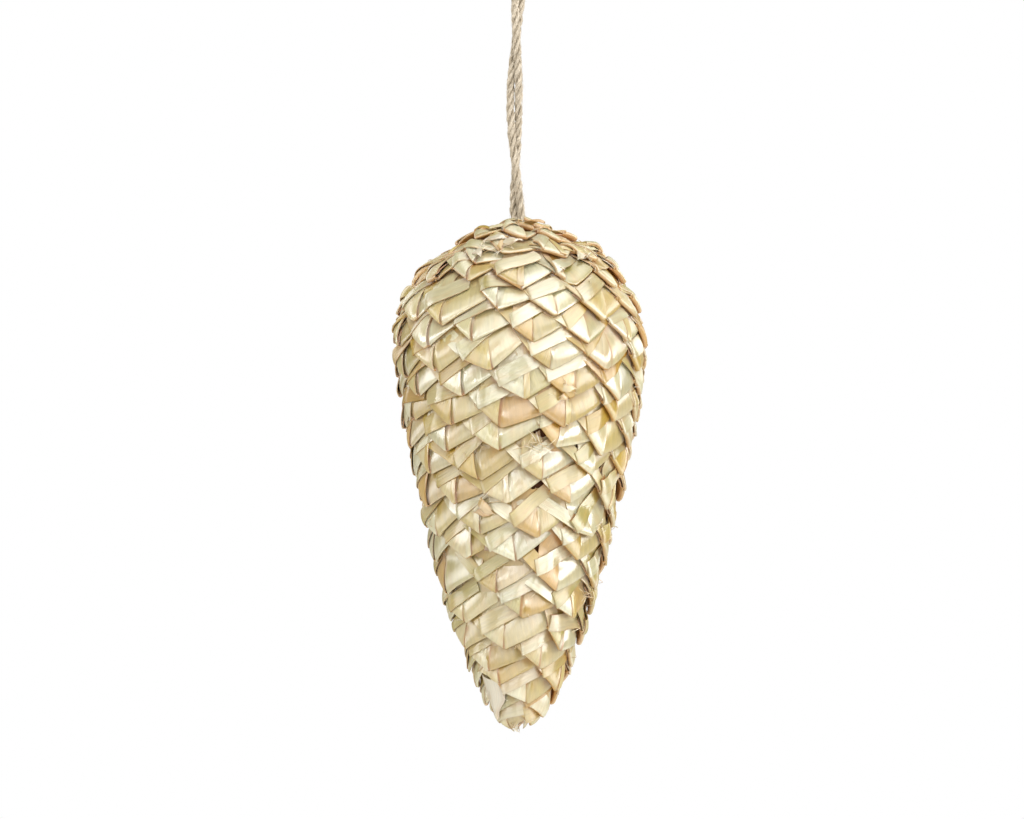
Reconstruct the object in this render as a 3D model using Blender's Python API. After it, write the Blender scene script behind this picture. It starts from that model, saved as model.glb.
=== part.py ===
"""Hanging pine cone ornament: a light cone form covered with rows of folded palm-leaf scales,
hung on a loop of doubled jute twine. Metres, +Z up, front towards -Y.
The origin is under the crown of the loop, where a hook carries the ornament."""

import math

import bmesh
import bpy
from mathutils import Vector

gap = 0.0003                    # between pieces that touch

# Loop of twine
twine_diameter = 0.0026
eye_radius = 0.0065             # middle of the twine to the middle of the open eye at the top
eye_length = 0.0190             # from the eye's widest level down to where the twist begins
half_twist = 0.0462             # height in which the two legs change places
loop_bow = 0.0019               # how far the hanging loop bows to the left half-way down
loop_height = 0.1127            # hook level to the top of the leaf cap

# Cone form, from the crown's middle to the nose's middle
crown_radius = 0.0406           # the rounded top, down to the widest level
taper_depth = 0.1288            # widest level to the end of the nose
shoulder_handle = 0.0080        # how long the side stays upright under the widest level
nose_radius = 0.0050
nose_angle = math.radians(44)   # how far round the nose its arc runs
nose_handle = 0.0280            # how long the side runs straight above the nose
socket_depth = 0.0070           # hole in the crown that takes both ends of the twine
socket_play = 0.0008            # round the two ends, beside each other

# Rows of scales
crown_rows = 6
taper_rows = 15
nose_rows = 1
nose_end = 0.0016               # the last tips stop this far from the nose's middle
scale_width = 0.0205            # one scale across, at its tip's level
fewest_scales = 4
lap = 1.5                       # a scale's length in row pitches, so each row hides the next one's upper edge
corner_rise = 0.56              # a scale's side corners lie this share of a pitch above its tip
widest_column = math.radians(18.5)

# Leaf thicknesses and how far the scales stand off the form
leaf_top = 0.0008               # folded leaf at a scale's upper edge
leaf_corner = 0.0011            # at its side corners
leaf_tip = 0.0015               # along its middle seam, at the tip
bed = 0.0005                    # under a row's upper edge
row_play = 0.0004               # under a row, where it passes over the next one

# How far each row's first scale is turned from the front, in degrees to the right, top row first
row_turns = (20, -3, -2, 0, -11, 5, -13, -2, -8, -13, 11, -5, 12, 0, -21, -1, -15, 25, -20, 7, 50, -20)

# Colours as linear RGB
leaf_colour = (0.72, 0.60, 0.35)
form_colour = (0.10, 0.045, 0.02)
jute_colour = (0.42, 0.33, 0.23)

leg_spacing = twine_diameter + gap
socket_radius = (leg_spacing + twine_diameter) / 2 + socket_play
leaf_lapped = leaf_top + (leaf_tip - leaf_top) * (1 - 1 / lap)  # thickest part that lies under the row above
lift = lap * (leaf_lapped + row_play)  # how much further off the form a tip stands than its upper edge
cap_bed = bed + leaf_top + row_play  # the first row also lies on the second one's upper edge
crown_top = -(loop_height + bed + lift + leaf_tip)
widest_level = crown_top - crown_radius
crown_arc = crown_radius * math.pi / 2
nose_arc = nose_radius * nose_angle


def clear_scene():
    for thing in list(bpy.data.objects):
        bpy.data.objects.remove(thing, do_unlink=True)


def make_material(name, colour, roughness):
    material = bpy.data.materials.new(name)
    material.use_nodes = True
    shader = material.node_tree.nodes["Principled BSDF"]
    shader.inputs["Base Color"].default_value = (*colour, 1.0)
    shader.inputs["Roughness"].default_value = roughness
    shader.inputs["Metallic"].default_value = 0.0
    return material


def add_object(name, data, material):
    thing = bpy.data.objects.new(name, data)
    bpy.context.collection.objects.link(thing)
    data.materials.append(material)
    return thing


def bezier(ends, handles, share):
    """A point of the curve between two ends, each with its handle."""
    rest = 1 - share
    return (rest ** 3 * ends[0] + 3 * rest ** 2 * share * handles[0]
            + 3 * rest * share ** 2 * handles[1] + share ** 3 * ends[1])


def trace_meridian():
    """The form's outline as (radius, height) points, closely spaced, from crown to nose."""
    crown_steps, taper_steps, nose_steps = 48, 160, 24
    points = []
    for step in range(crown_steps + 1):
        angle = math.pi / 2 * step / crown_steps
        points.append(Vector((crown_radius * math.sin(angle), widest_level + crown_radius * math.cos(angle))))
    nose_centre = widest_level - taper_depth + nose_radius
    start = points[-1]
    end = Vector((nose_radius * math.sin(nose_angle), nose_centre - nose_radius * math.cos(nose_angle)))
    start_handle = start - Vector((0, shoulder_handle))
    end_handle = end + nose_handle * Vector((math.cos(nose_angle), math.sin(nose_angle)))
    for step in range(1, taper_steps + 1):
        points.append(bezier((start, end), (start_handle, end_handle), step / taper_steps))
    for step in range(1, nose_steps + 1):
        angle = nose_angle * (1 - step / nose_steps)
        points.append(Vector((nose_radius * math.sin(angle), nose_centre - nose_radius * math.cos(angle))))
    return points


meridian = trace_meridian()
reached = [0.0]
for above, below in zip(meridian, meridian[1:]):
    reached.append(reached[-1] + (below - above).length)
whole_arc = reached[-1]
taper_arc = whole_arc - crown_arc - nose_arc


def off_form(run, height):
    """(radius, z) of the point that stands height off the form, at the distance run down its outline."""
    run = min(max(run, 0.0), whole_arc)
    after = next(i for i in range(1, len(reached)) if reached[i] >= run)
    share = (run - reached[after - 1]) / (reached[after] - reached[after - 1])
    along = (meridian[after] - meridian[after - 1]).normalized()
    outward = Vector((-along.y, along.x))
    return meridian[after - 1].lerp(meridian[after], share) + height * outward


def around(spot, turn):
    """A (radius, z) point turned to the right of the front."""
    return Vector((spot.x * math.sin(turn), -spot.x * math.cos(turn), spot.y))


def row_rims():
    """Distance down the form's outline of each row's tips."""
    rims = [crown_arc * (row + 1) / crown_rows for row in range(crown_rows)]
    rims += [crown_arc + taper_arc * (row + 1) / taper_rows for row in range(taper_rows)]
    rims += [crown_arc + taper_arc + (nose_arc - nose_end) * (row + 1) / nose_rows for row in range(nose_rows)]
    return rims


def row_columns(rim, turn):
    """Angle and share (0 at the seam, 1 at the corners) of each column of points in one row."""
    tip_radius = off_form(rim, bed + lift + leaf_tip).x
    scales = max(fewest_scales, round(2 * math.pi * tip_radius / scale_width))
    half = math.pi / scales
    steps = math.ceil(half / widest_column)
    columns = []
    for scale in range(scales):
        seam = turn + 2 * half * scale
        for step in range(-steps, steps):
            columns.append((seam + half * step / steps, abs(step) / steps))
    return columns, half / steps


def leaf_row(name, rim, pitch, turn, start, material):
    """One ring of folded scales, joined where their corners touch, flaring from its upper edge to its tips."""
    upper = max(rim - lap * pitch, socket_radius)
    end = bed + lift
    columns, column_angle = row_columns(rim, turn)
    widen = 1 / math.cos(column_angle / 2)
    mesh = bmesh.new()
    sections = []
    for angle, aside in columns:
        edge = rim - corner_rise * pitch * aside
        outer, inner = [], []
        for share in (0.0, 0.5, 1.0):
            run = upper + (edge - upper) * share
            down = (run - upper) / (rim - upper)
            under = start + (end - start) * down
            full = leaf_tip + (leaf_corner - leaf_tip) * aside
            thick = leaf_top + (full - leaf_top) * share
            outer.append(mesh.verts.new(around(off_form(run, under + thick), angle)))
            below = off_form(run, under)
            inner.append(mesh.verts.new(around(Vector((below.x * widen, below.y)), angle)))
        sections.append(outer + inner[::-1])
    for here, there in zip(sections, sections[1:] + sections[:1]):
        for corner in range(len(here)):
            following = (corner + 1) % len(here)
            mesh.faces.new((here[corner], here[following], there[following], there[corner]))
    bmesh.ops.recalc_face_normals(mesh, faces=mesh.faces)
    data = bpy.data.meshes.new(name)
    mesh.to_mesh(data)
    mesh.free()
    return add_object(name, data, material)


def cone_form(material):
    """The body that carries the rows: its outline turned round the middle, with a socket in the crown."""
    sides, rings = 32, 26
    outline = [Vector((socket_radius, crown_top - socket_depth))]
    for ring in range(rings):
        outline.append(off_form(socket_radius + (whole_arc - socket_radius) * ring / rings, 0.0))
    outline[1].x = socket_radius
    mesh = bmesh.new()
    floor = mesh.verts.new((0, 0, crown_top - socket_depth))
    nose = mesh.verts.new((0, 0, widest_level - taper_depth))
    loops = []
    for spot in outline:
        loops.append([mesh.verts.new(around(spot, 2 * math.pi * side / sides)) for side in range(sides)])
    for side in range(sides):
        following = (side + 1) % sides
        mesh.faces.new((floor, loops[0][side], loops[0][following]))
        mesh.faces.new((nose, loops[-1][following], loops[-1][side]))
        for upper, lower in zip(loops, loops[1:]):
            mesh.faces.new((upper[side], lower[side], lower[following], upper[following]))
    bmesh.ops.recalc_face_normals(mesh, faces=mesh.faces)
    data = bpy.data.meshes.new("cone_form")
    mesh.to_mesh(data)
    mesh.free()
    data.shade_smooth()
    data.set_sharp_from_angle(angle=math.radians(50))
    return add_object("cone_form", data, material)


def twine_route():
    """Middle line of the twine: up one leg, round the eye and down the other leg."""
    twine_radius = twine_diameter / 2
    eye_level = twine_radius - eye_radius
    twist_top = eye_level - eye_length
    foot = crown_top - socket_depth + gap
    leg = []
    twist_steps, eye_steps, bend_steps = 80, 24, 24
    for step in range(twist_steps):
        height = foot + (twist_top - foot) * step / twist_steps
        turn = math.pi * (twist_top - height) / half_twist
        bow = loop_bow * math.sin(math.pi * (twist_top - height) / (twist_top - foot))
        leg.append(Vector((leg_spacing / 2 * math.cos(turn), leg_spacing / 2 * math.sin(turn), height))
                   - Vector((bow, 0, 0)))
    for step in range(eye_steps):
        share = step / eye_steps
        aside = leg_spacing / 2 + (eye_radius - leg_spacing / 2) * (1 - math.cos(math.pi * share)) / 2
        leg.append(Vector((aside, 0, twist_top + eye_length * share)))
    bend = []
    for step in range(bend_steps + 1):
        turn = math.pi * step / bend_steps
        bend.append(Vector((eye_radius * math.cos(turn), 0, eye_level + eye_radius * math.sin(turn))))
    other = []
    for point in reversed(leg):
        bow = 0.0
        if point.z < twist_top:
            bow = loop_bow * math.sin(math.pi * (twist_top - point.z) / (twist_top - foot))
        other.append(Vector((-(point.x + bow) - bow, -point.y, point.z)))
    return leg + bend + other


def evenly(route, spacing):
    """Points of a fine route about one spacing apart, both ends kept."""
    lengths = [0.0]
    for before, after in zip(route, route[1:]):
        lengths.append(lengths[-1] + (after - before).length)
    count = round(lengths[-1] / spacing)
    points = []
    for index in range(count + 1):
        wanted = lengths[-1] * index / count
        after = next(i for i in range(1, len(route)) if lengths[i] >= wanted - 1e-9)
        share = (wanted - lengths[after - 1]) / (lengths[after] - lengths[after - 1])
        points.append(route[after - 1].lerp(route[after], share))
    return points


def jute_loop(material):
    """Twine as a round tube along its route."""
    points = evenly(twine_route(), 2 * twine_diameter)
    data = bpy.data.curves.new("jute_loop", "CURVE")
    data.dimensions = "3D"
    data.bevel_depth = twine_diameter / 2
    data.bevel_resolution = 2
    data.use_fill_caps = True
    spline = data.splines.new("POLY")
    spline.points.add(len(points) - 1)
    for target, point in zip(spline.points, points):
        target.co = (*point, 1.0)
    return add_object("jute_loop", data, material)


clear_scene()
cone_form(make_material("brown_form", form_colour, 0.85))
last_rim = 0.0
for number, (rim, turn) in enumerate(zip(row_rims(), row_turns), start=1):
    leaf = make_material(f"palm_leaf_{number:02d}", leaf_colour, 0.45)
    start = cap_bed if number == 1 else bed
    leaf_row(f"leaf_row_{number:02d}", rim, rim - last_rim, math.radians(turn), start, leaf)
    last_rim = rim
jute_loop(make_material("jute_twine", jute_colour, 0.9))
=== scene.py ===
import math

import bpy
import numpy as np
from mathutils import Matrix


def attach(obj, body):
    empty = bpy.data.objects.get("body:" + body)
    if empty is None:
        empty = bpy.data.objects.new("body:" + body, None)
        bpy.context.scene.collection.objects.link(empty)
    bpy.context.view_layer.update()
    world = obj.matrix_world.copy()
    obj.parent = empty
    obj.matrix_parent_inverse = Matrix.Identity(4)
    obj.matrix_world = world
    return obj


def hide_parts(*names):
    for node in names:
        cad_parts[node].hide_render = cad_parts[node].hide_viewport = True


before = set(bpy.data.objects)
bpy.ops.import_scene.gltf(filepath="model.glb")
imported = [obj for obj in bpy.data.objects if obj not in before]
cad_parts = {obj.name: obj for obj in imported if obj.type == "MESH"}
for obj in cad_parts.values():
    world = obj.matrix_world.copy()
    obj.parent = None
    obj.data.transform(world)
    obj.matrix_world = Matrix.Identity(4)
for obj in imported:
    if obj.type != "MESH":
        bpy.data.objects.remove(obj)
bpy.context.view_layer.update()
mm = 0.001


def hexToLinear(code):
    shares = [int(code[i:i + 2], 16) / 255 for i in (1, 3, 5)]
    return tuple(s / 12.92 if s <= 0.04045 else ((s + 0.055) / 1.055) ** 2.4 for s in shares)


def addNode(tree, kind, inputs=None, **settings):
    node = tree.nodes.new(kind)
    for name, value in settings.items():
        setattr(node, name, value)
    for name, value in (inputs or {}).items():
        if isinstance(value, bpy.types.NodeSocket):
            tree.links.new(value, node.inputs[name])
        else:
            node.inputs[name].default_value = value
    return node


def newMaterial(name):
    material = bpy.data.materials.new(name)
    material.use_nodes = True
    material.node_tree.nodes.clear()
    return material, material.node_tree


def inScene(name, data):
    thing = bpy.data.objects.new(name, data)
    bpy.context.scene.collection.objects.link(thing)
    return thing


def meshObject(name, points, quads, material, tones=None, masks=None, uvs=None):
    # tones, masks and uvs each hold one value per point
    data = bpy.data.meshes.new(name)
    data.vertices.add(len(points))
    data.vertices.foreach_set("co", points.astype(np.float32).ravel())
    sizes = np.full(len(quads), quads.shape[1])
    data.loops.add(quads.size)
    data.loops.foreach_set("vertex_index", quads.astype(np.int32).ravel())
    data.polygons.add(len(quads))
    data.polygons.foreach_set("loop_start", (np.cumsum(sizes) - sizes).astype(np.int32))
    data.update(calc_edges=True)
    if tones is not None:
        layer = data.color_attributes.new("tone", "FLOAT_COLOR", "POINT")
        full = np.concatenate([tones, np.ones((len(tones), 1))], axis=1)
        layer.data.foreach_set("color", full.astype(np.float32).ravel())
    for mask, values in (masks or {}).items():
        layer = data.attributes.new(mask, "FLOAT", "POINT")
        layer.data.foreach_set("value", values.astype(np.float32).ravel())
    if uvs is not None:
        layer = data.uv_layers.new(name="grain")
        layer.data.foreach_set("uv", uvs[quads.ravel()].astype(np.float32).ravel())
    data.materials.append(material)
    data.validate()
    data.shade_smooth()
    data.set_sharp_from_angle(angle=math.radians(55))
    return inScene(name, data)


# Camera: level with the cone's upper part and a touch to its left, far off with a long lens
print("camera")
picture = {
    "distance": 1.5,
    "widthAtCone": 0.3584,      # metres of the object's plane that the picture's width takes in
    "aside": -0.0028,
    "level": -0.1783,
    "sensor": 36.0,
}
cameraData = bpy.data.cameras.new("camera")
cameraData.sensor_width = picture["sensor"]
cameraData.lens = picture["sensor"] * picture["distance"] / picture["widthAtCone"]
cameraData.clip_start = 0.05
cameraData.clip_end = 30
camera = inScene("camera", cameraData)
camera.location = (picture["aside"], -picture["distance"], picture["level"])
camera.rotation_euler = (math.radians(90), 0, 0)
bpy.context.scene.camera = camera

# Jute twine, doubled into the hanging loop
print("jute loop")
twine = {
    "diameter": 2.6 * mm,
    "gap": 0.3 * mm,            # between the two legs
    "eyeRadius": 6.5 * mm,
    "eyeLength": 19 * mm,
    "halfTwist": 46.2 * mm,     # height in which the legs change places
    "bow": 1.9 * mm,            # to the left, half-way down
    "crownTop": -116.85 * mm,
    "socketDepth": 7 * mm,
    "plies": 3,
    "lay": 12.5 * mm,           # length in which a ply goes once round
    "fullness": 1.24,           # plies swell into each other and across the gap, as loose spun jute does
    "step": 0.45 * mm,
    "sides": 14,
    "hairs": 1900,
    "hairRadius": 0.04 * mm,
    "hairReach": (1.2, 4.5),    # mm along the twine, least and most
    "hairRise": (0.3, 1.1),     # mm off it, usual and most
    "hairSteps": 6,
    "hairSides": 3,
    "tones": ("#d3c9b8", "#ab9f8b", "#5b5042"),     # outward, between, and down between the plies, where it is painted shade
    "seed": 11,
}


def twineRoute():
    twistSteps, eyeSteps = 160, 48
    radius = twine["diameter"] / 2
    spacing = twine["diameter"] + twine["gap"]
    eyeLevel = radius - twine["eyeRadius"]
    twistTop = eyeLevel - twine["eyeLength"]
    foot = twine["crownTop"] - twine["socketDepth"] + twine["gap"]
    heights = np.linspace(foot, twistTop, twistSteps + 1)[:-1]
    turn = math.pi * (twistTop - heights) / twine["halfTwist"]
    bow = twine["bow"] * np.sin(math.pi * (twistTop - heights) / (twistTop - foot))
    twisted = np.stack([spacing / 2 * np.cos(turn), spacing / 2 * np.sin(turn), heights], axis=1)
    share = np.linspace(0, 1, eyeSteps + 1)[:-1]
    aside = spacing / 2 + (twine["eyeRadius"] - spacing / 2) * (1 - np.cos(math.pi * share)) / 2
    opening = np.stack([aside, 0 * share, twistTop + twine["eyeLength"] * share], axis=1)
    turn = np.linspace(0, math.pi, eyeSteps + 1)
    bend = np.stack([twine["eyeRadius"] * np.cos(turn), 0 * turn,
                     eyeLevel + twine["eyeRadius"] * np.sin(turn)], axis=1)
    leg = np.concatenate([twisted, opening])
    mirrored = leg[::-1] * (-1, -1, 1)
    bows = np.concatenate([bow, 0 * share])
    leg[:, 0] -= bows
    mirrored[:, 0] -= bows[::-1]
    return np.concatenate([leg, bend, mirrored])


def evenly(route, step):
    lengths = np.concatenate([[0], np.cumsum(np.linalg.norm(np.diff(route, axis=0), axis=1))])
    count = int(round(lengths[-1] / step))
    wanted = np.linspace(0, lengths[-1], count + 1)
    return np.stack([np.interp(wanted, lengths, route[:, i]) for i in range(3)], axis=1), lengths[-1]


def framesAlong(path):
    # tangents, and two cross directions carried along without twist
    tangents = np.gradient(path, axis=0)
    tangents /= np.linalg.norm(tangents, axis=1)[:, None]
    normals = np.zeros_like(path)
    normal = np.array([0.0, -1.0, 0.0])
    for i, tangent in enumerate(tangents):
        normal = normal - tangent * normal.dot(tangent)
        normal /= np.linalg.norm(normal)
        normals[i] = normal
    return tangents, normals, np.cross(tangents, normals)


def tubeQuads(rings, sides, first):
    ring, side = np.meshgrid(np.arange(rings - 1), np.arange(sides), indexing="ij")
    a = first + ring * sides + side
    b = first + ring * sides + (side + 1) % sides
    return np.stack([a, b, b + sides, a + sides], axis=-1).reshape(-1, 4)


def juteMaterial():
    # Jute twine, spun and plied: dull beige-grey bast fibre, hairy, with painted shade down between the plies
    material, tree = newMaterial("jutePliedTwine")
    tone = addNode(tree, "ShaderNodeVertexColor", layer_name="tone")
    grain = addNode(tree, "ShaderNodeUVMap", uv_map="grain")
    # fibres about 0.2 mm wide, drawn that coarse so that they show; jute's own are a tenth of that
    stretch = addNode(tree, "ShaderNodeMapping", {"Vector": grain.outputs[0], "Scale": (5.0, 0.75, 1.0)})
    fibres = addNode(tree, "ShaderNodeTexNoise", {"Vector": stretch.outputs[0], "Scale": 1.0, "Detail": 3.0},
                     noise_dimensions="2D")
    spread = addNode(tree, "ShaderNodeMapRange",
                     {"Value": fibres.outputs["Fac"], "From Min": 0.3, "From Max": 0.7,
                      "To Min": 0.55, "To Max": 1.3})
    colour = addNode(tree, "ShaderNodeVectorMath", {0: tone.outputs["Color"], 1: spread.outputs[0]},
                     operation="MULTIPLY")
    bump = addNode(tree, "ShaderNodeBump", {"Height": fibres.outputs["Fac"], "Strength": 0.7,
                                            "Distance": 0.08 * mm})
    shader = addNode(tree, "ShaderNodeBsdfPrincipled",
                     {"Base Color": colour.outputs[0], "Roughness": 0.82, "Normal": bump.outputs[0],
                      "Specular IOR Level": 0.3, "Sheen Weight": 0.15, "Sheen Roughness": 0.5})
    addNode(tree, "ShaderNodeOutputMaterial", {"Surface": shader.outputs[0]})
    return material


def juteLoop():
    draw = np.random.RandomState(twine["seed"])
    path, length = evenly(twineRoute(), twine["step"])
    tangents, normals, crossways = framesAlong(path)
    rings, sides = len(path), twine["sides"]
    along = np.arange(rings) * length / (rings - 1)
    apart = math.sin(math.pi / twine["plies"])      # round plies that just touch inside the diameter
    plyRadius = twine["diameter"] / 2 / (1 + 1 / apart)
    plyOffset = plyRadius / apart
    plyRadius *= twine["fullness"]
    light, mid, dark = [np.array(hexToLinear(c)) for c in twine["tones"]]
    points, quads, tones, uvs = [], [], [], []
    for ply in range(twine["plies"]):
        wander = 0.25 * np.sin(along / (13 * mm) + draw.uniform(0, 6))
        turn = 2 * math.pi * (along / twine["lay"] + ply / twine["plies"]) + wander
        out = np.cos(turn)[:, None] * normals + np.sin(turn)[:, None] * crossways
        swell = (1 + 0.10 * np.sin(along / (3.1 * mm) + draw.uniform(0, 6))
                 + 0.04 * draw.standard_normal(rings)
                 + 0.07 * np.sin(along / (1.3 * mm) + draw.uniform(0, 6)))
        centre = path + plyOffset * out
        shade = np.cumsum(draw.standard_normal(rings)) * 0.05
        shade = 0.5 + 0.30 * np.sin(shade + along / (9 * mm) + draw.uniform(0, 6))
        for side in range(sides):
            angle = 2 * math.pi * side / sides
            # fibres run round the ply the other way than the plies run round the twine
            fibreTurn = turn + angle - along / (2.6 * mm)
            groove = 0.05 * np.sin(3 * fibreTurn + draw.uniform(0, 6)) + 0.06 * draw.standard_normal(rings)
            radius = plyRadius * swell * (1 + groove)
            facing = turn + angle
            direction = np.cos(facing)[:, None] * normals + np.sin(facing)[:, None] * crossways
            points.append(centre + radius[:, None] * direction)
            # each ply is painted lighter where it faces out of the twine and darker where it faces in towards
            # the other plies and down its grooves: painted shade
            outward = (math.cos(angle) + 1) / 2
            fade = np.clip(0.25 + 0.9 * outward, 0, 1) * (0.75 + 0.25 * shade)
            fade = np.clip(fade + 0.9 * groove, 0, 1)[:, None]
            lighter, darker = mid + (light - mid) * (fade - 0.5) * 2, dark + (mid - dark) * fade * 2
            tones.append(np.where(fade > 0.5, lighter, darker))
            uvs.append(np.stack([np.full(rings, angle * plyRadius / mm) + ply * 40 + along / mm * 0.3,
                                 along / mm], axis=1))
        quads.append(tubeQuads(rings, sides, ply * rings * sides))
    count = twine["plies"] * rings * sides
    # ring by ring, as the quads count them; the hairs are added to these lists
    points, tones, uvs = [
        [np.array(values).reshape(twine["plies"], sides, rings, wide).transpose(0, 2, 1, 3).reshape(-1, wide)]
        for values, wide in ((points, 3), (tones, 3), (uvs, 2))]
    steps, hairSides = twine["hairSteps"], twine["hairSides"]
    usualRise, mostRise = twine["hairRise"]
    for hair in range(twine["hairs"]):
        ring = draw.randint(4, rings - 4)
        if path[ring, 2] < twine["crownTop"] + 1 * mm:
            continue
        angle = draw.uniform(0, 2 * math.pi)
        out = math.cos(angle) * normals[ring] + math.sin(angle) * crossways[ring]
        beside = np.cross(tangents[ring], out)
        reach = draw.uniform(*twine["hairReach"]) * mm
        rise = min(draw.exponential(usualRise), mostRise) * mm
        way = draw.choice([-1, 1])
        share = np.linspace(0, 1, steps)
        middle = (path[ring] + out * (twine["diameter"] / 2 * 0.93 + rise * share[:, None] ** 1.4)
                  + tangents[ring] * way * reach * share[:, None]
                  + beside * (draw.uniform(-0.7, 0.7) * mm * share[:, None]
                              + draw.uniform(-0.4, 0.4) * mm * np.sin(share * 3)[:, None]))
        radius = twine["hairRadius"] * (1.25 - share) * draw.uniform(0.8, 1.5)
        for i in range(steps):
            for side in range(hairSides):
                spin = 2 * math.pi * side / hairSides
                direction = math.cos(spin) * out + math.sin(spin) * beside
                points.append((middle[i] + radius[i] * direction)[None])
        quads.append(tubeQuads(steps, hairSides, count))
        count += steps * hairSides
        tones.append(np.tile(light if draw.uniform() < 0.7 else mid, (steps * hairSides, 1)))
        uvs.append(np.tile([hair * 0.7, 0.0], (steps * hairSides, 1)))
    loop = meshObject("twistedJuteLoop", np.concatenate(points), np.concatenate(quads), juteMaterial(),
                      np.concatenate(tones), None, np.concatenate(uvs))
    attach(loop, "root")
    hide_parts("jute_loop")
    return loop


juteLoop()

# Cone form: the dark body behind the scales, kept from the CAD
print("cone form")


def formMaterial():
    # Pressed plant fibre, dark brown: matt and crumbly, seen only down in the gaps
    material, tree = newMaterial("pressedBrownFibre")
    place = addNode(tree, "ShaderNodeTexCoord")
    # clumps about 2 mm across
    clumps = addNode(tree, "ShaderNodeTexNoise",
                     {"Vector": place.outputs["Object"], "Scale": 450.0, "Detail": 6.0})
    ramp = addNode(tree, "ShaderNodeMix",
                   {"Factor": clumps.outputs["Fac"], 6: (*hexToLinear("#2a140b"), 1),
                    7: (*hexToLinear("#6b4024"), 1)}, data_type="RGBA")
    bump = addNode(tree, "ShaderNodeBump", {"Height": clumps.outputs["Fac"], "Strength": 0.8,
                                            "Distance": 0.3 * mm})
    shader = addNode(tree, "ShaderNodeBsdfPrincipled", {"Base Color": ramp.outputs[2], "Roughness": 0.9,
                                                        "Normal": bump.outputs[0]})
    addNode(tree, "ShaderNodeOutputMaterial", {"Surface": shader.outputs[0]})
    return material


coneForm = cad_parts["cone_form"]
coneForm.data.materials.clear()
coneForm.data.materials.append(formMaterial())

# Outline of the form, from the frame: distance run down it from the crown's middle, radius, height and
# outward way
print("outline")


def formOutline():
    fineSteps = 16
    corners = np.array([tuple(coneForm.matrix_world @ v.co) for v in coneForm.data.vertices])
    radii = np.hypot(corners[:, 0], corners[:, 1])
    top = corners[:, 2].max()
    spots = {(round(r, 5), round(z, 5)) for r, z in zip(radii, corners[:, 2])}
    # the socket is left out, and the crown closed over it
    socket = min(r for r, z in spots if z > top - 2 * mm)
    spots = sorted((s for s in spots if s[0] > socket + 1e-4), key=lambda s: -s[1])
    bottom = (0.0, round(corners[:, 2].min(), 5))
    spots = np.array([(-spots[0][0], spots[0][1]), (0.0, top + 0.00015)] + spots + [bottom,
                     (-spots[-1][0], spots[-1][1])])
    fine = []
    for before, start, end, after in zip(spots, spots[1:], spots[2:], spots[3:]):
        share = np.linspace(0, 1, fineSteps + 1)[:-1, None]
        fine.append(0.5 * (2 * start + (end - before) * share
                           + (2 * before - 5 * start + 4 * end - after) * share ** 2
                           + (3 * start - before - 3 * end + after) * share ** 3))
    fine = np.concatenate(fine + [spots[-2][None]])
    run = np.concatenate([[0], np.cumsum(np.linalg.norm(np.diff(fine, axis=0), axis=1))])
    way = np.gradient(fine, axis=0)
    way /= np.linalg.norm(way, axis=1)[:, None]
    return run, fine[:, 0], fine[:, 1], -way[:, 1], way[:, 0]


outline = formOutline()
print("outline length", round(outline[0][-1] / mm, 2), "mm")


def onForm(run, turn, height):
    # point that stands height off the form; turn is to the right of the front
    r, z, outR, outZ = [np.interp(run, outline[0], part) for part in outline[1:]]
    r = np.maximum(r + height * outR, 0.0)
    z = z + height * outZ
    return np.stack([r * np.sin(turn), -r * np.cos(turn), z], axis=-1)


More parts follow.
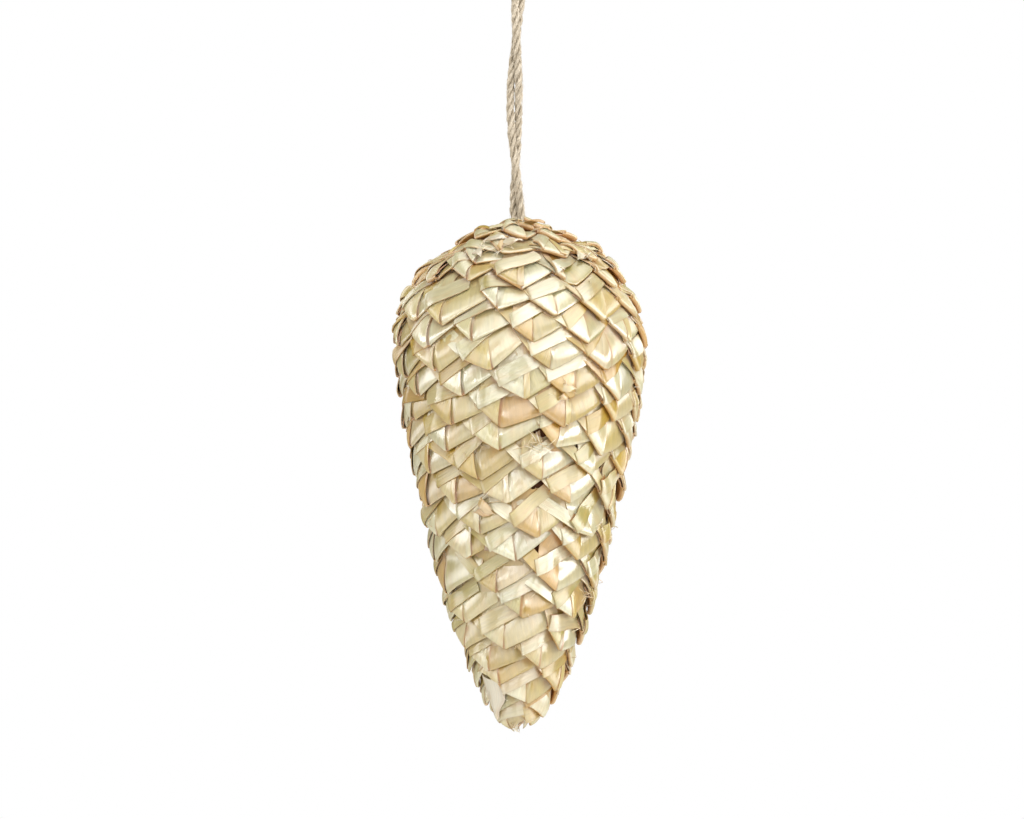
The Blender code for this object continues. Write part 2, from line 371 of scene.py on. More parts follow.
# Rows of folded palm-leaf scales
print("scales")
scales = {
    # how far each row's tips lie down the form from the crown's middle
    "tipRuns": [10.6, 21.3, 31.9, 42.5, 53.1, 62.4, 72.1, 80.1, 89.5, 98.8, 107.8, 118.0, 127.6, 137.0, 148.4,
                158.3, 167.7, 177.0, 184.6, 190.0, 195.0, 199.8],
    # how far each row's first scale is turned from the front, in degrees to the right
    "turns": [20, -3, -2, 0, -11, 5, -13, -2, -8, -13, 11, -5, 12, 0, -21, -1, -15, 25, -22, 12, 66, -45],
    "width": 20.5,              # one scale across, at its tip's level
    "fewest": 3,
    "tipAside": 0.18,           # the tip is this share of half a scale left of its middle
    "cornerRise": 5.6,          # corners above the tip, on a scale 20 mm wide
    "cornerBend": 1.05,         # 1 gives a straight lower edge, more rounds the tip
    "reach": 18.0,              # how far a strip runs up under the rows above
    "bed": 0.3,                 # hidden upper edge off the form
    "lift": 1.9,                # how much further off the form a tip stands
    "slope": 13.8,              # over this length
    "standsOff": 4,             # a tip's outer side off the form, for counting scales
    # the crown is laid less neatly: lift of its tips, factors for fold thickness and how far scales stray,
    # brown of its folds and a factor for scale width, all easing out to its last row
    "crown": {"last": 6, "lift": 1.2, "rim": 1.15, "wild": 1.7, "brown": 0.85, "narrow": 0.88},
    "rimTone": "#d0a04c",       # folds in the crown and left folds, where the leaf is old and tan
    "rimLeft": (0.15, 0.95),    # share of it on left folds, least and most
    # row and share of its strips that are fairer
    "fair": ((1, 0.6), (4, 0.7), (8, 0.5), (12, 0.45), (16, 0.55), (22, 0.55)),
    "fairest": (0.85, "#d7d9bf"),       # how much fairer at most, and towards which tone
    "fairOthers": 0.75,         # share of that on all but the left strips, so the left strips are painted fairer, partly a painted highlight for their glints
    "brightness": (0.68, 0.87),         # of the tones below, least and most
    "skew": 0.07,               # each left corner stands off over its neighbour, by this for each mm aside
    "swell": 0.9,               # how far a strip bows out between its fold and the row above
    "swellAt": 4.2,             # above the fold
    "swellReach": 5.6,          # from there up to where the strip lies flat again
    "flapUp": 0.07,             # strips differ in slope by this much up or down
    "flapAside": 0.06,
    "back": ((8, 0.0), (12, 0.07), (16, 0.20), (20, 0.27)),     # row and how much its strips lean back there
    "ply": 0.3,                 # one leaf thickness
    "foldRight": 0.26,
    "foldLeft": 0.75,
    "foldBand": 0.40,
    "foldFeed": 0.30,
    "foldHem": 0.22,
    "foldStart": math.radians(25),
    "turnedUnder": 5.0,         # how far a strip runs on behind its fold
    "bandAngle": math.radians(28),  # the band comes down to the left corner this steeply
    "bandEnd": math.radians(76),    # slope of its fold there
    "bandWidth": 4.9,
    "feedAngle": math.radians(46),  # one more strip comes down to the band this steeply, from the upper left
    "feedWidth": 5.0,
    # brightness of each kind of strip: partly painted light, the left strips painted paler for their glints
    # and the right strips darker for their shade
    "paler": {"left": 1.06, "right": 0.94, "band": 0.93, "feed": 1.02},
    # how far veins lean to the right of straight up
    "grainTurn": {"left": math.radians(18), "right": math.radians(-6)},
    # how far under the row above each kind of strip passes
    "depth": {"right": 0.85, "left": 0.5, "band": 0.2, "feed": 0.7, "hem": 0.25},
    "rests": 1.3,               # a strip that leans back lies no lower than this less its depth
    "hemShare": 0.25,           # scales whose left strip has its edge turned back in a narrow hem
    "hemWidth": 2.0,
    "stray": {
        # how far scales and strips stray from the plan, either way
        "lean": 0.16, "grow": 0.12, "aside": 1.6, "up": 1.5, "seam": 1.5,
        "tiltAside": 0.05, "tiltUp": 0.04, "swell": 0.2, "swellAt": 0.5,
        "leanLeft": 0.10, "leanRight": 0.10, "leanBand": 0.16,
        "bandUp": 0.05, "feedUp": 0.06, "leftTwist": 0.010, "rightTwist": 0.012,
        "rareShare": 0.1,           # this share of them strays further, by this much more
        "rareMore": 1.3,
    },
    "brownAndShade": {
        # share of brown mixed into the leaf: old brown just round a fold and painted shade behind it, on
        # right strips and on others
        "right": (0.08, 0.3),
        "others": (0.22, 0.55),
        "cut": 0.5,                 # along cut edges, and a hem's
        "cutHem": 0.75,
        "seam": 0.9,                # where a right strip goes in beside the left one: painted shadow of the left strip's edge, with some brown of the cut edge
        "lap": 0.32,                # painted shade up under the row above
        "lapLeft": 0.6,             # painted shadow up under its left strips, from just outside their edges
        "near": 0.20,               # painted shade easing out below that
    },
    "tones": {
        # dried palm leaf as it comes: share of the strips, colour
        "cream": (0.28, "#d0bc68"),
        "greenCream": (0.24, "#c6ba6a"),
        "straw": (0.23, "#ccae3c"),
        "tan": (0.13, "#caa230"),
        "peach": (0.02, "#cfa030"),
        "white": (0.10, "#d6d2a6"),
    },
    "seed": 5,
}


def leafMaterial():
    # Dried palm leaf, split into strips and folded: pale straw with fine veins along the strip, and a satin
    # skin whose glints lie across the veins
    material, tree = newMaterial("driedPalmLeaf")
    tone = addNode(tree, "ShaderNodeVertexColor", layer_name="tone")
    grain = addNode(tree, "ShaderNodeUVMap", uv_map="grain")
    # veins about 0.8 mm apart and fibres about 0.4 mm, drawn that coarse so that they show, and tan blotches
    # 3 mm and more across: how many to a mm across the strip and along it, detail, roughness
    patterns = []
    for stretch, detail, roughness in (((1.25, 0.035), 2.0, 0.5), ((2.3, 0.2), 3.0, 0.6),
                                       ((0.30, 0.10), 2.0, 0.5)):
        place = addNode(tree, "ShaderNodeMapping", {"Vector": grain.outputs[0], "Scale": (*stretch, 1.0)})
        patterns.append(addNode(tree, "ShaderNodeTexNoise",
                                {"Vector": place.outputs[0], "Scale": 1.0, "Detail": detail,
                                 "Roughness": roughness}, noise_dimensions="2D"))
    veins, fibres, blotches = patterns
    both = addNode(tree, "ShaderNodeMath", {0: veins.outputs["Fac"], 1: fibres.outputs["Fac"]},
                   operation="ADD")
    streak = addNode(tree, "ShaderNodeMapRange",
                     {"Value": both.outputs[0], "From Min": 0.65, "From Max": 1.35,
                      "To Min": 0.84, "To Max": 1.10})
    streaked = addNode(tree, "ShaderNodeVectorMath", {0: tone.outputs["Color"], 1: streak.outputs[0]},
                       operation="MULTIPLY")
    blotchShare = addNode(tree, "ShaderNodeMapRange", {"Value": blotches.outputs["Fac"], "From Min": 0.5,
                                                       "From Max": 0.8, "To Min": 0.0, "To Max": 0.45})
    aged = addNode(tree, "ShaderNodeMix", {"Factor": blotchShare.outputs[0], 6: streaked.outputs[0],
                                           7: (*hexToLinear("#c49c50"), 1)}, data_type="RGBA")
    # the edge mask mixes in brown: the leaf's own brown along cut edges and round folds, and painted shade
    # under folds, beside seams and up under the row above
    edge = addNode(tree, "ShaderNodeAttribute", attribute_name="edge")
    brownedAndShaded = addNode(tree, "ShaderNodeMix", {"Factor": edge.outputs["Fac"], 6: aged.outputs[2],
                                              7: (*hexToLinear("#ac6616"), 1)}, data_type="RGBA")
    bump = addNode(tree, "ShaderNodeBump", {"Height": both.outputs[0], "Strength": 0.7,
                                            "Distance": 0.12 * mm})
    # tan leaf is duller than pale leaf, and the browned and painted-shade parts of the edge mask are duller
    # still
    parts = addNode(tree, "ShaderNodeSeparateColor", {"Color": tone.outputs["Color"]})
    paleness = addNode(tree, "ShaderNodeMath", {0: parts.outputs["Blue"], 1: parts.outputs["Red"]},
                       operation="DIVIDE")
    rough = addNode(tree, "ShaderNodeMapRange",
                    {"Value": paleness.outputs[0], "From Min": 0.16, "From Max": 0.60,
                     "To Min": 0.45, "To Max": 0.295})
    rougher = addNode(tree, "ShaderNodeMath", {0: edge.outputs["Fac"], 1: 0.6, 2: rough.outputs[0]},
                      operation="MULTIPLY_ADD")
    across = addNode(tree, "ShaderNodeTangent", direction_type="UV_MAP", uv_map="grain")
    # the IOR is raised from the 1.5 of a waxy leaf, which gave glints weaker than the real satin ones
    shader = addNode(tree, "ShaderNodeBsdfPrincipled",
                     {"Base Color": brownedAndShaded.outputs[2], "Roughness": rougher.outputs[0], "IOR": 2.3,
                      "Specular IOR Level": 1.0, "Anisotropic": 1.0, "Tangent": across.outputs[0],
                      "Normal": bump.outputs[0]})
    addNode(tree, "ShaderNodeOutputMaterial", {"Surface": shader.outputs[0]})
    return material


palmLeaf = leafMaterial()
# steps along a strip: its plate, its fold and behind the fold; and places across it, closest at its edges
plateSteps, foldSteps, underSteps = 12, 7, 2
columns = np.array([0, 0.03, 0.10, 0.13, 0.16, 0.30, 0.50, 0.70, 0.87, 0.97, 1.0])


def smooth(value, low, high):
    share = np.clip((value - low) / (high - low), 0, 1)
    return share * share * (3 - 2 * share)


def lesser(one, other, blend):
    # the lower of two heights, blended where they meet
    return 0.5 * (one + other - np.sqrt((one - other) ** 2 + blend ** 2))


def planRow(number, tipRun, turn):
    tipRadius = float(np.interp(tipRun * mm, outline[0], outline[1])) / mm + scales["standsOff"]
    crown = scales["crown"]
    share = min(1.0, (number - 1) / (crown["last"] - 1)) ** 2
    width = scales["width"] * (crown["narrow"] + (1 - crown["narrow"]) * share)
    count = max(scales["fewest"], round(2 * math.pi * tipRadius / width))
    half = math.pi / count
    across = half * tipRadius       # half a scale, in mm
    return {
        "number": number, "tipRun": tipRun, "turn": math.radians(turn), "count": count, "half": half,
        "across": across,
        "left": (1 - scales["tipAside"]) * across,
        "right": (1 + scales["tipAside"]) * across,
        "rise": scales["cornerRise"] * across / 10,
        "lift": crown["lift"] + (scales["lift"] - crown["lift"]) * share,
        "rim": crown["rim"] + (1 - crown["rim"]) * share,
        "wild": crown["wild"] + (1 - crown["wild"]) * share,
        "brown": crown["brown"] * (1 - share),
    }


def foldLine(plan, u):
    # how far above the tip the lower edge lies, u mm aside of it; straight on beyond the corners
    share = np.abs(u) / np.where(u < 0, plan["left"], plan["right"])
    bend = scales["cornerBend"]
    return plan["rise"] * np.where(share < 1, np.minimum(share, 1) ** bend, 1 + bend * (share - 1))


def standOff(plan, v):
    return scales["bed"] + plan["lift"] * np.clip(1 - v / scales["slope"], 0.0, 1.2)


def coverOf(plan, run, turn):
    # underside of the row above as its scales really lie, and how far a spot lies up under their lower edges
    spot = (turn - plan["turn"]) / plan["half"] * plan["across"]
    cell = np.floor((spot + plan["left"]) / (2 * plan["across"])).astype(int)
    total, underside, leftOf, hidden = 0.0, 0.0, 0.0, -99.0
    for step in (-1, 0, 1):
        lies = {name: values[(cell + step) % plan["count"]] for name, values in plan["lies"].items()}
        x = (spot - (cell + step) * 2 * plan["across"] - lies["aside"]) / lies["grow"]
        y = (plan["tipRun"] - run - lies["up"]) / lies["grow"]
        u = x * np.cos(lies["lean"]) + y * np.sin(lies["lean"])
        v = y * np.cos(lies["lean"]) - x * np.sin(lies["lean"])
        edge = foldLine(plan, u)
        gap, onLeft, kept = np.maximum(edge - v, 0), smooth(lies["seam"] - u, -1.5, 1.5), np.maximum(v, edge)
        tilt = lies["tiltAside"] * u + lies["tiltUp"] * (kept - 4)
        tilt = tilt + onLeft * (lies["leftUp"] * (kept - edge - 2) + lies["leftAside"] * (u + 4))
        tilt = tilt + (1 - onLeft) * (lies["rightUp"] * (kept - 5) + lies["rightAside"] * (u - 5))
        # strips come up close to a right-hand lower edge
        beside = 1.1 * (1 - np.exp(-2.2 * gap)) + 0.4 * gap
        share = np.exp(1.5 * np.clip(v - edge, -20, 20))
        total = total + share
        underside = underside + share * (standOff(plan, kept) - scales["skew"] * u + tilt
                                         + onLeft * 0.6 * gap + (1 - onLeft) * beside)
        leftOf = leftOf + share * onLeft
        hidden = np.maximum(hidden, v - edge)
    return underside / total, hidden, leftOf / total


def foldProfile(radius):
    # along a strip: from its hidden end down to the fold, round it and back underneath
    start = scales["foldStart"]
    first = radius * (1 - math.sin(start))
    plate = first + (scales["reach"] - first) * np.linspace(1, 0, plateSteps) ** 1.15
    turns = np.linspace(start, math.pi, foldSteps + 1)[1:]
    under = radius + np.linspace(0, scales["turnedUnder"], underSteps + 1)[1:]
    runs = np.concatenate([plate, radius * (1 - np.sin(turns)), under])
    drop = np.concatenate([0 * plate, radius * (math.cos(start) - np.cos(turns)),
                           0.2 * (under - radius) + radius * (math.cos(start) + 1)])
    return runs, np.maximum(runs, first), drop


def shell(middle, thickness):
    # closed thin strips from their middle surfaces (N, R, C, 3)
    down = np.gradient(middle, axis=1)
    aside = np.gradient(middle, axis=2)
    normal = np.cross(down, aside)
    normal /= np.linalg.norm(normal, axis=-1)[..., None] + 1e-12
    half = thickness / 2 * mm
    return np.stack([middle + normal * half, middle - normal * half], axis=1)


def shellQuads(count, rows, columnCount):
    one = rows * columnCount
    r, c = np.meshgrid(np.arange(rows - 1), np.arange(columnCount - 1), indexing="ij")
    a = (r * columnCount + c).ravel()
    outer = np.stack([a, a + columnCount, a + columnCount + 1, a + 1], axis=1)
    inner = outer[:, ::-1] + one
    rim = np.concatenate([np.arange(columnCount), np.arange(1, rows) * columnCount + columnCount - 1,
                          (rows - 1) * columnCount + np.arange(columnCount - 2, -1, -1),
                          np.arange(rows - 2, 0, -1) * columnCount])
    following = np.roll(rim, -1)
    border = np.stack([rim, following, following + one, rim + one], axis=1)
    quads = np.concatenate([outer, inner, border])
    return (quads[None] + (np.arange(count) * 2 * one)[:, None, None]).reshape(-1, 4)


def pickTones(draw, count):
    leaf = scales["tones"]
    names = list(leaf)
    shares = np.array([leaf[n][0] for n in names])
    picked = draw.choice(len(names), count, p=shares / shares.sum())
    colours = np.array([hexToLinear(leaf[n][1]) for n in names])[picked]
    return colours * draw.uniform(*scales["brightness"], (count, 1))


def scaleRow(plan, above):
    draw = np.random.RandomState(scales["seed"] * 100 + plan["number"])
    stray, brownAndShade = scales["stray"], scales["brownAndShade"]
    count, across, rise = plan["count"], plan["across"], plan["rise"]
    wild = plan["wild"]     # the crown is laid less neatly
    foldRight, foldLeft, foldBand = [scales[n] * plan["rim"] for n in ("foldRight", "foldLeft", "foldBand")]

    def vary(spread):
        rare = 1 + stray["rareMore"] * (draw.uniform(0, 1, (count, 1, 1)) < stray["rareShare"])
        return draw.uniform(-spread, spread, (count, 1, 1)) * rare * wild

    lean, grow = vary(stray["lean"]), 1 + vary(stray["grow"])
    tiltAside, tiltUp = vary(stray["tiltAside"]), vary(stray["tiltUp"])
    swell, swellAt = scales["swell"] + vary(stray["swell"]), scales["swellAt"] + vary(stray["swellAt"])
    curl = draw.exponential(0.15, (count, 1, 1)).clip(0, 0.7)
    phases = draw.uniform(0, 6, (count, 1, 1, 4))
    shiftAside, shiftUp, seam = [vary(stray[n]) for n in ("aside", "up", "seam")]
    leanLeft, leanRight, leanBand = [vary(stray[n]) for n in ("leanLeft", "leanRight", "leanBand")]
    back = float(np.interp(plan["number"], *zip(*scales["back"])))
    leftUp, rightUp = vary(scales["flapUp"]) - back - 0.04, vary(scales["flapUp"]) - back
    bandUp = vary(stray["bandUp"])
    leftAside, rightAside = vary(scales["flapAside"]), vary(scales["flapAside"])
    leftTwist = stray["leftTwist"] + vary(stray["leftTwist"])
    rightTwist, feedUp = vary(stray["rightTwist"]), vary(stray["feedUp"])

    plan["lies"] = {name: values[:, 0, 0] for name, values in {
        "lean": lean, "grow": grow, "aside": shiftAside, "up": shiftUp, "seam": seam, "tiltAside": tiltAside,
        "tiltUp": tiltUp, "leftUp": leftUp, "leftAside": leftAside, "rightUp": rightUp,
        "rightAside": rightAside}.items()}

    def common(u, v):
        skew = scales["skew"] * (1 - 0.6 * smooth(v, 6, 12))
        waves = (0.02 * np.sin(u / 1.1 + phases[..., 0]) * np.sin(v / 2.3 + phases[..., 1])
                 + 0.04 * np.sin(u / 2.4 + phases[..., 2]) * np.sin(v / 4.1 + phases[..., 3]))
        return (standOff(plan, v) - skew * u + tiltAside * u + tiltUp * (v - 4)
                + curl * np.exp(-(np.hypot(u, v) / 3.0) ** 2) + waves)

    def bow(p):
        below = 1 - ((p - swellAt) / swellAt) ** 2
        beyond = 1 - ((p - swellAt) / scales["swellReach"]) ** 2
        return swell * np.maximum(np.where(p < swellAt, below, beyond), -0.5)

    def arch(q):
        return 0.18 * (1 - (2 * q - 1) ** 2)

    def rightPlate(u, v, p, q):
        groove = 0.3 * np.exp(-((u - seam - 0.2) / 0.7) ** 2)
        tilt = rightUp * (v - 5) + rightAside * (u - 5) + rightTwist * (u - 5) * (v - 6)
        return common(u, v) + 2 * foldRight + 0.25 + bow(0.6 * v + 0.4 * p) + tilt + arch(q) - groove

    def leftPlate(u, v, p, q):
        above = v - foldLine(plan, u)
        tilt = leftUp * (above - 2) + leftAside * (u + 4) + leftTwist * (u + 4) * (above - 4)
        return common(u, v) + 2 * foldLeft + 0.25 + 0.85 * bow(above) + tilt + arch(q)

    def bandPlate(u, v, p, q):
        return (leftPlate(u, v, p, q) + 0.45 + 0.7 * bow(0.75 * p)
                + (0.16 + bandUp) * (1 - q) * scales["bandWidth"])

    def feedPlate(u, v, p, q):
        return (common(u, v) + 0.7 + bow(0.8 * (v - rise) + 1.5)
                + 0.12 * (1 - q) * scales["feedWidth"] + feedUp * (p - 3))

    def hemPlate(u, v, p, q):
        return leftPlate(u, v, p, 1.0) + 0.4 + 0.5 * arch(q)

    every = np.ones((count, 1))
    q = columns[None] * every
    seamOnce = seam[:, :, 0]
    # each kind of strip: where its fold runs, which way it goes from there, its fold and its surface
    strips = {}
    u = seamOnce - 0.15 * across + (plan["right"] + 0.65 * across - seamOnce) * q
    strips["right"] = (u, foldLine(plan, u) + 0.35 * (u < seamOnce), leanRight, foldRight, rightPlate)
    u = -1.02 * plan["left"] + (1.02 * plan["left"] + seamOnce + 0.1) * q
    strips["left"] = (u, foldLine(plan, u), leanLeft, foldLeft, leftPlate)
    away = -0.8 + (scales["bandWidth"] + 0.8) * (1 - q)
    slope = scales["bandEnd"]
    strips["band"] = (-0.98 * plan["left"] - away * math.cos(slope), rise + away * math.sin(slope),
                      leanBand + math.pi / 2 - scales["bandAngle"], foldBand, bandPlate)
    away = scales["feedWidth"] * q
    steep = scales["feedAngle"]
    strips["feed"] = (0.5 - plan["left"] + away * math.sin(steep), rise - 0.3 + away * math.cos(steep),
                      leanBand + steep - math.pi / 2, scales["foldFeed"], feedPlate)
    u = seamOnce + 0.1 + (q - 0.5) * scales["hemWidth"]
    strips["hem"] = (u, foldLine(plan, u) + 0.4, leanLeft, scales["foldHem"], hemPlate)
    hemmed = draw.uniform(0, 1, count) < scales["hemShare"]
    scaleTone, ownTone = pickTones(draw, count), draw.uniform(0, 1, (count, 2)) < 0.6
    rimLeft = draw.uniform(*scales["rimLeft"], (count, 1))
    fairShare = float(np.interp(plan["number"], *zip(*scales["fair"])))
    fairness, fairTone = scales["fairest"]

    points, tones, edges, uvs = [], [], [], []
    scaleTurn = (plan["turn"] + 2 * plan["half"] * np.arange(count))[:, None, None]

    def placed(u, v):
        leaned = ((u * np.cos(lean) - v * np.sin(lean)) * grow + shiftAside,
                  (u * np.sin(lean) + v * np.cos(lean)) * grow + shiftUp)
        return plan["tipRun"] - leaned[1], scaleTurn + leaned[0] / across * plan["half"]

    for name, (startU, startV, slant, radius, plate) in strips.items():
        depth = scales["depth"][name]
        chosen = hemmed if name == "hem" else np.ones(count, bool)
        runs, kept, drop = foldProfile(radius)
        aside, up = np.sin(slant), np.cos(slant)
        keptU = startU[:, None] + aside * kept[None, :, None]
        keptV = startV[:, None] + up * kept[None, :, None]
        height = plate(keptU, keptV, kept[None, :, None], q[:, None])
        hidden, leftOf = np.full(height.shape, -99.0), 0.0
        if above is not None:
            underside, hidden, leftOf = coverOf(above, *placed(keptU, keptV))
            height = lesser(height, underside - depth, 0.5)
        # a strip lies down on the form where it leans back so far
        height = -lesser(-height, depth - scales["rests"], 0.4)
        height = height - drop[None, :, None]
        run, turn = placed(startU[:, None] + aside * runs[None, :, None],
                           startV[:, None] + up * runs[None, :, None])
        middle = onForm(run * mm, turn, height * mm)[chosen]
        points.append(shell(middle, scales["ply"]))
        tone = pickTones(draw, count)
        if name == "band":
            bandTone = tone
        if name == "feed":
            tone = bandTone
        if name in ("right", "left"):
            tone = np.where(ownTone[:, :1] if name == "right" else ownTone[:, 1:], tone, scaleTone)
        fair = (draw.uniform(0.3 * fairness, fairness, (count, 1))
                * (draw.uniform(0, 1, (count, 1)) < fairShare))
        fair = fair * (1.0 if name == "left" else scales["fairOthers"])
        tone = tone + (np.array(hexToLinear(fairTone)) - tone) * fair
        # the left strips painted paler and the right darker, partly painted light
        tone = (tone * scales["paler"].get(name, 1.0))[chosen][:, None, None, None]
        tanned = np.maximum(plan["brown"], rimLeft * (name == "left"))[chosen][:, None, None, None]
        tanned = tanned * smooth(drop / radius, 0.0, 0.3)[None, None, :, None, None]
        tones.append(np.broadcast_to(tone + (np.array(hexToLinear(scales["rimTone"])) - tone) * tanned,
                                     points[-1].shape))
        # brown along folds and cut edges, and painted shade under folds, beside the seam and up under the row
        # above
        turned, beneath = brownAndShade["right" if name == "right" else "others"]
        underFold = (turned * smooth(drop / radius, 0.02, 0.5)
                     + beneath * smooth(drop / radius, 0.8, 1.5))[None, :, None]
        cut = brownAndShade["cutHem" if name == "hem" else "cut"] * ((q < 0.01) | (q > 0.99))[:, None]
        deep = np.maximum(brownAndShade["lap"] * smooth(hidden, -0.3, 0.3),
                          brownAndShade["lapLeft"] * leftOf * smooth(hidden, -1.2, -0.1))
        deep = np.maximum(deep, brownAndShade["near"] * smooth(hidden, -3.2, 0.0))
        edge = np.maximum(np.maximum(underFold, cut), deep)
        if name == "right":
            edge = np.maximum(edge, brownAndShade["seam"] * np.exp(-((keptU - seam - 0.28) / 0.26) ** 2))
        edge = np.broadcast_to(edge, height.shape)[chosen]
        edges.append(np.broadcast_to(edge[:, None], points[-1].shape[:4]))
        widths = {"band": scales["bandWidth"], "feed": scales["feedWidth"], "hem": scales["hemWidth"]}
        sideways, along = columns[None] * widths.get(name, across), (runs + 2 * drop)[:, None]
        lies = scales["grainTurn"].get(name, 0.0)
        grain = np.stack([sideways * math.cos(lies) - along * math.sin(lies),
                          sideways * math.sin(lies) + along * math.cos(lies)], -1)
        offset = draw.uniform(0, 400, (count, 1, 1, 1, 2))[chosen]
        uvs.append(np.broadcast_to(grain[None, None] + offset, points[-1].shape[:4] + (2,)))
    points = np.concatenate(points)
    quads = shellQuads(len(points), *points.shape[2:4])
    piece = meshObject(f"leafScales{plan['number']:02d}", points.reshape(-1, 3), quads, palmLeaf,
                       np.concatenate(tones).reshape(-1, 3), {"edge": np.concatenate(edges).reshape(-1)},
                       np.concatenate(uvs).reshape(-1, 2))
    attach(piece, "root")
    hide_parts(f"leaf_row_{plan['number']:02d}")
    return piece


above = None
for number, (tipRun, turn) in enumerate(zip(scales["tipRuns"], scales["turns"]), start=1):
    plan = planRow(number, tipRun, turn)
    scaleRow(plan, above)
    above = plan

# Odd bits: leaves and scraps that stand off, crumpled knots and frayed fibres
print("odd bits")
oddBits = {
    # mm down the form and degrees right of the front where a bit starts, its length and width in mm, the way
    # it runs in degrees from straight down, its height off the form at start, middle and end, crumpling, tone
    "leaves": [
        (180.5, -44, 14.5, 10.5, -12, (2.2, 3.2, 4.6), 0.1, "#c9c3ad"),     # hangs at the left of the nose
        (197.0, -70, 3.6, 3.4, 10, (2.0, 3.4, 4.6), 0.3, "#c8c3a2"),
        (198.0, -20, 3.2, 2.6, -20, (1.8, 3.4, 4.8), 0.3, "#d2cdb6"),
        (198.2, 30, 2.4, 2.4, 15, (1.6, 2.8, 3.6), 0.3, "#b9ae84"),
        (5.2, 28, 7.0, 5.5, 10, (2.6, 5.2, 5.0), 0.2, "#c49a55"),           # round the foot of the twine
        (5.0, -38, 7.5, 6.5, -15, (1.8, 3.4, 3.2), 0.3, "#c6c08a"),
        (5.4, 100, 7.5, 6.0, 20, (2.0, 3.8, 3.4), 0.2, "#cbbd86"),
        (5.2, 170, 7.0, 6.5, 0, (2.2, 4.2, 3.6), 0.3, "#c6b878"),
        (5.2, -110, 8.0, 6.0, -10, (2.0, 3.8, 3.2), 0.2, "#cdc292"),
        (21.0, -30, 8.0, 4.5, 70, (3.4, 4.8, 4.2), 0.5, "#d6d1bd"),          # papery scraps
        (25.5, -14, 7.5, 3.2, 105, (3.6, 5.0, 4.6), 0.6, "#d3cdb8"),
        (27.5, -34, 6.5, 3.6, 40, (3.2, 4.4, 4.6), 0.6, "#d8d4c4"),
        (30.0, 46, 6.0, 3.0, -60, (3.4, 4.6, 4.4), 0.5, "#cfc9ae"),
        (116.5, -24, 7.0, 3.4, 60, (3.6, 5.2, 4.0), 0.9, "#c9ae74"),         # crumpled knots
        (118.8, -17, 6.0, 2.8, -75, (3.6, 5.0, 4.2), 0.9, "#bf9a58"),
        (76.0, 19, 5.5, 2.6, 75, (3.6, 5.2, 4.2), 0.8, "#cbb77c"),
        (78.5, 23, 4.5, 2.4, -60, (3.4, 4.8, 3.8), 0.8, "#c9a868"),
        (132.0, -25, 5.0, 3.0, 80, (2.0, 2.6, 2.2), 0.8, "#8f6a38"),
        (108.0, 150, 6.5, 3.2, 65, (3.6, 5.0, 4.0), 0.9, "#c9b27a"),
        (88.0, -135, 6.0, 3.0, -70, (3.6, 5.0, 4.2), 0.8, "#cdbb84"),
    ],
    # where a fray is, how many fibres it has and how long they are
    "frays": [(96.5, 5, 12, 6.0), (97.5, 9, 8, 5.0), (117.5, -21, 10, 5.5), (26.0, -16, 9, 5.0),
              (28.5, -30, 7, 5.0), (77.5, 21, 7, 4.0), (31.0, 50, 8, 5.5), (45.0, -70, 7, 5.0),
              (150.0, 60, 6, 4.5), (120.0, 170, 9, 5.5), (70.0, -150, 8, 5.0), (199.0, -40, 9, 3.5)],
    "loose": 60,                # single fibres here and there
    "fibreWidth": 0.22,
    "fibreTones": ["#d4c79a", "#c8ab6e", "#ddd8c2"],
    "ply": 0.22,
    "fibrePly": 0.12,
    "seed": 21,
}
bitSteps, bitColumns = 13, 5       # points along and across each bit


def oddRibbon(draw, run, turn, length, width, way, heights, crumple, taper):
    share = np.linspace(0, 1, bitSteps)[:, None]
    q = np.linspace(0, 1, bitColumns)[None]
    phases = draw.uniform(0, 6, 4)
    way = math.radians(way)
    sideways = ((q - 0.5) * width * (1 - 0.94 * smooth(share, taper, 1.0))
                + 0.08 * length * np.sin(3 * share + phases[0]))
    reach = share * length
    u = reach * math.sin(way) + sideways * math.cos(way)
    v = sideways * math.sin(way) - reach * math.cos(way)
    start, middle, end = heights
    height = start + (4 * middle - 3 * start - end) * share + 2 * (start + end - 2 * middle) * share ** 2
    height = height + 0.12 * width * (1 - (2 * q - 1) ** 2)
    height = height + crumple * (0.35 * np.sin(7 * share + 2 * q + phases[1])
                                 + 0.25 * np.sin(4 * q - 5 * share + phases[2]))
    radius = float(np.interp(run * mm, outline[0], outline[1])) / mm + 3
    return onForm((run - v) * mm, math.radians(turn) + u / radius, height * mm)


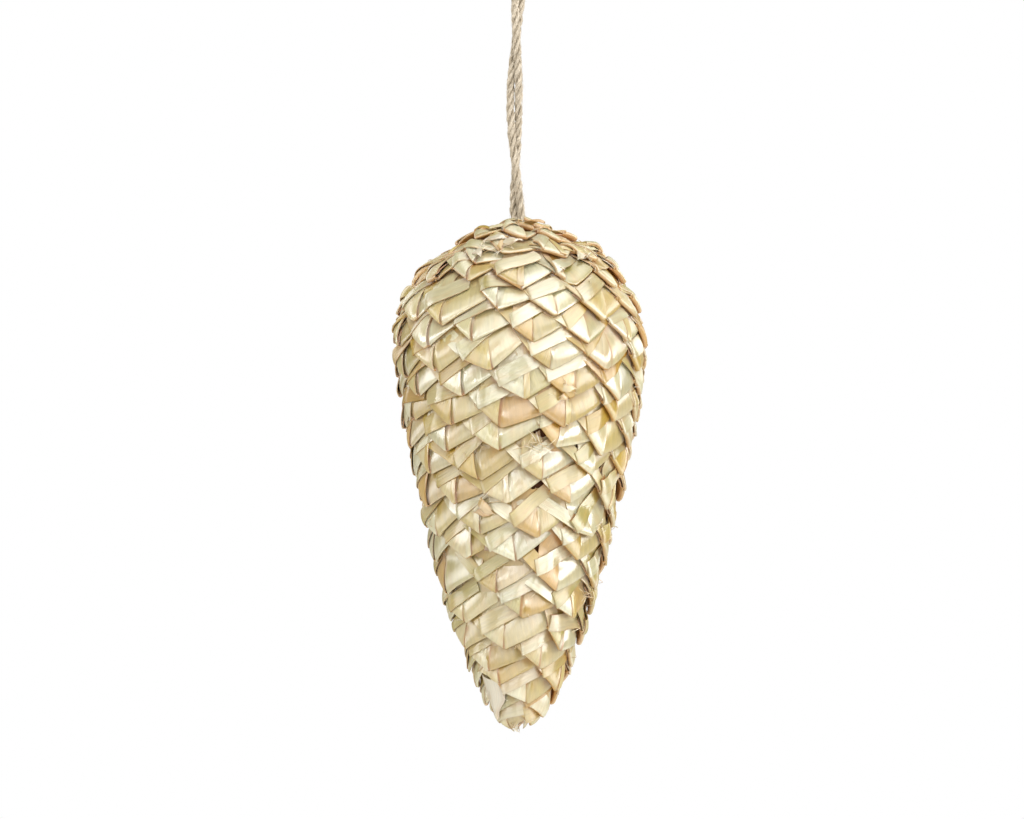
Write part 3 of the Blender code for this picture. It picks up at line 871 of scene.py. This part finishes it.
def makeOddBits():
    draw = np.random.RandomState(oddBits["seed"])
    middles, plies, tones, sizes = [], [], [], []
    for run, turn, length, width, way, heights, crumple, tone in oddBits["leaves"]:
        middles.append(oddRibbon(draw, run, turn, length, width, way, heights, crumple, 0.45))
        plies.append(oddBits["ply"])
        tones.append(hexToLinear(tone))
        sizes.append((width, length))
    fibres = [(run + draw.uniform(-1.5, 1.5), turn + draw.uniform(-4, 4), draw.uniform(0.5, 1.2) * length)
              for run, turn, count, length in oddBits["frays"] for _ in range(count)]
    fibres += [(draw.uniform(20, 190), draw.uniform(0, 360), draw.uniform(1.5, 4.5))
               for _ in range(oddBits["loose"])]
    for run, turn, length in fibres:
        rise = draw.uniform(0.6, 2.2)
        heights = (2.6, 3.0 + rise, 2.8 + rise * draw.uniform(0.2, 1.4))
        middles.append(oddRibbon(draw, run, turn, length, oddBits["fibreWidth"], draw.uniform(-180, 180),
                                 heights, 0.2, 0.6))
        plies.append(oddBits["fibrePly"])
        tones.append(hexToLinear(draw.choice(oddBits["fibreTones"])))
        sizes.append((oddBits["fibreWidth"], length))
    points = np.stack([shell(middle[None], ply)[0] for middle, ply in zip(middles, plies)])
    tones = np.broadcast_to(np.array(tones)[:, None, None, None], points.shape)
    grain = np.stack(np.broadcast_arrays(np.linspace(0, 1, bitColumns)[None],
                                         np.linspace(0, 1, bitSteps)[:, None]), -1)
    shifts = np.arange(len(points))[:, None, None, None, None] * 7.0     # so that no two bits look alike
    uvs = grain[None, None] * np.array(sizes)[:, None, None, None] + shifts
    uvs = np.broadcast_to(uvs, points.shape[:4] + (2,))
    quads = shellQuads(len(points), bitSteps, bitColumns)
    edges = np.zeros(points.shape[:4])
    edges[..., [0, -1]] = 0.25
    bits = meshObject("oddLeafBits", points.reshape(-1, 3), quads, palmLeaf, tones.reshape(-1, 3),
                      {"edge": edges.reshape(-1)}, uvs.reshape(-1, 2))
    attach(bits, "root")


makeOddBits()

# Studio: white surroundings, pale floor far below, soft lights
print("studio")
studio = {
    "floorLevel": -0.75,
    "floorRadius": 3.0,
    "floorSides": 64,
    "floorGlow": 0.5,           # to the camera only
    "surround": 0.385,          # light from the surroundings; the camera sees them as plain white
    "surroundTint": "#ffebc2",
    "lights": {
        # place, width and height in metres, watts, colour
        "keyRight": ((0.62, -1.17, 0.04), (0.8, 0.16), 3.9, "#fbfcff"),
        "keyLeft": ((-0.48, -1.22, -0.01), (0.8, 0.16), 3.9, "#f9fbff"),
        "high": ((0.35, -0.95, 0.75), (1.4, 1.0), 5.0, "#fdfdff"),
        "overhead": ((0.30, -0.45, 1.10), (1.4, 1.2), 10.8, "#ffffff"),
        "sideRight": ((1.22, -0.42, 0.0), (0.9, 0.36), 8.6, "#fbfbff"),
        "sideLeft": ((-1.25, -0.35, 0.05), (0.8, 0.34), 5.2, "#f9faff"),
        "backRight": ((0.9, 1.2, 0.3), (0.7, 0.7), 4, "#ffffff"),
        "backLeft": ((-0.9, 1.2, 0.3), (0.7, 0.7), 4, "#ffffff"),
    },
}


def makeStudio():
    bpy.context.scene.view_settings.view_transform = "Standard"
    world = bpy.data.worlds.new("surroundings")
    world.use_nodes = True
    world.node_tree.nodes.clear()
    tree = world.node_tree
    ray = addNode(tree, "ShaderNodeLightPath")
    strength = addNode(tree, "ShaderNodeMapRange", {"Value": ray.outputs["Is Camera Ray"],
                                                    "To Min": studio["surround"], "To Max": 1.0})
    tint = addNode(tree, "ShaderNodeMix",
                   {"Factor": ray.outputs["Is Camera Ray"], 6: (*hexToLinear(studio["surroundTint"]), 1),
                    7: (1, 1, 1, 1)}, data_type="RGBA")
    light = addNode(tree, "ShaderNodeBackground", {"Color": tint.outputs[2], "Strength": strength.outputs[0]})
    addNode(tree, "ShaderNodeOutputWorld", {"Surface": light.outputs[0]})
    bpy.context.scene.world = world
    # Mat white paper: even, with no gleam
    material, tree = newMaterial("matWhitePaper")
    ray = addNode(tree, "ShaderNodeLightPath")      # brighter to the camera than to the ornament above it
    glow = addNode(tree, "ShaderNodeMath", {0: ray.outputs["Is Camera Ray"], 1: studio["floorGlow"]},
                   operation="MULTIPLY")
    shader = addNode(tree, "ShaderNodeBsdfPrincipled",
                     {"Base Color": (*hexToLinear("#f4f4f2"), 1), "Roughness": 0.9,
                      "Emission Color": (*hexToLinear("#eceef2"), 1), "Emission Strength": glow.outputs[0]})
    addNode(tree, "ShaderNodeOutputMaterial", {"Surface": shader.outputs[0]})
    sides = studio["floorSides"]
    turns = np.linspace(0, 2 * math.pi, sides + 1)[:-1]
    rim = np.stack([studio["floorRadius"] * np.cos(turns), studio["floorRadius"] * np.sin(turns),
                    np.full(sides, studio["floorLevel"])], axis=1)
    data = bpy.data.meshes.new("floor")
    data.from_pydata(rim.tolist(), [], [list(range(sides))])
    data.materials.append(material)
    floor = inScene("floor", data)
    middle = np.array([0, 0, picture["level"]])
    for name, (place, size, watts, colour) in studio["lights"].items():
        lamp = bpy.data.lights.new(name, "AREA")
        lamp.shape = "RECTANGLE"
        lamp.size, lamp.size_y = size
        lamp.energy = watts
        lamp.color = hexToLinear(colour)
        thing = inScene(name, lamp)
        thing.location = place
        away = np.array(place) - middle
        thing.rotation_euler = (math.atan2(math.hypot(away[0], away[1]), away[2]), 0,
                                math.atan2(away[1], away[0]) + math.pi / 2)


makeStudio()
